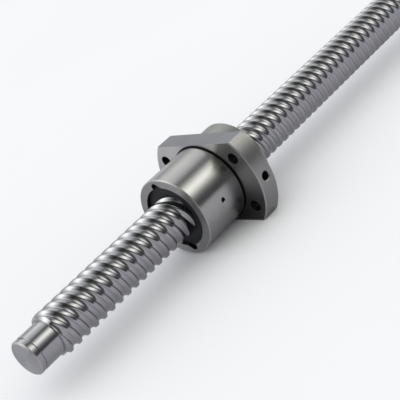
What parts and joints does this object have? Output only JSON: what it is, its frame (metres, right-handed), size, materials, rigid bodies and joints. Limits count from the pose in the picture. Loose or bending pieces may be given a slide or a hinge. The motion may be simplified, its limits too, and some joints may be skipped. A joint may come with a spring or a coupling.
{
  "type": "ball screw assembly",
  "caption": "Ball screw with a multi-start thread and a flanged ball nut: recirculating balls, end deflectors, wipers and turned journals for bearings.",
  "frame": {"origin": "centre of the flange's front face, on the screw's axis", "axes": "+X along the screw, from the near journal to the far one; +Z normal to the flange's upper flat; +Y to the side away from the oil port"},
  "size_m": [0.4, 0.074, 0.049],
  "materials": {
    "screw_steel": "polished induction-hardened steel",
    "nut_steel": "ground and turned hardened steel",
    "wiper_plastic": "black moulded plastic",
    "ring_steel": "black oxide spring steel",
    "deflector_plastic": "black glass-filled plastic",
    "ball_steel": "lapped bearing steel"
  },
  "bodies": {
    "screw": {"screw_shaft": "screw_steel"},
    "retaining_ring": {"rear_retaining_ring": "ring_steel"},
    "nut": {"nut_body": "nut_steel", "front_wiper": "wiper_plastic", "rear_wiper": "wiper_plastic", "front_deflector_1_inner": "deflector_plastic", "front_deflector_1_outer": "deflector_plastic", "front_deflector_2_inner": "deflector_plastic", "front_deflector_2_outer": "deflector_plastic", "rear_deflector_1_inner": "deflector_plastic", "rear_deflector_1_outer": "deflector_plastic", "rear_deflector_2_inner": "deflector_plastic", "rear_deflector_2_outer": "deflector_plastic", "loaded_balls_1": "ball_steel", "loaded_balls_2": "ball_steel", "return_balls_1": "ball_steel", "return_balls_2": "ball_steel", "front_turning_balls_1": "ball_steel", "front_turning_balls_2": "ball_steel", "rear_turning_balls_1": "ball_steel", "rear_turning_balls_2": "ball_steel"}
  },
  "joints": [
    {"name": "nut_travel", "type": "slide", "parent": "screw", "child": "retaining_ring", "axis": [1, 0, 0], "range_m": [-0.095, 0.195]},
    {"name": "nut_spin", "type": "hinge", "parent": "retaining_ring", "child": "nut", "pos_m": [0, 0, 0], "axis": [1, 0, 0], "range_deg": [-1370, 2810]}
  ],
  "couplings": [
    {"joint": "nut_spin", "follows": "nut_travel", "rad_per_m": 251.33}
  ]
}
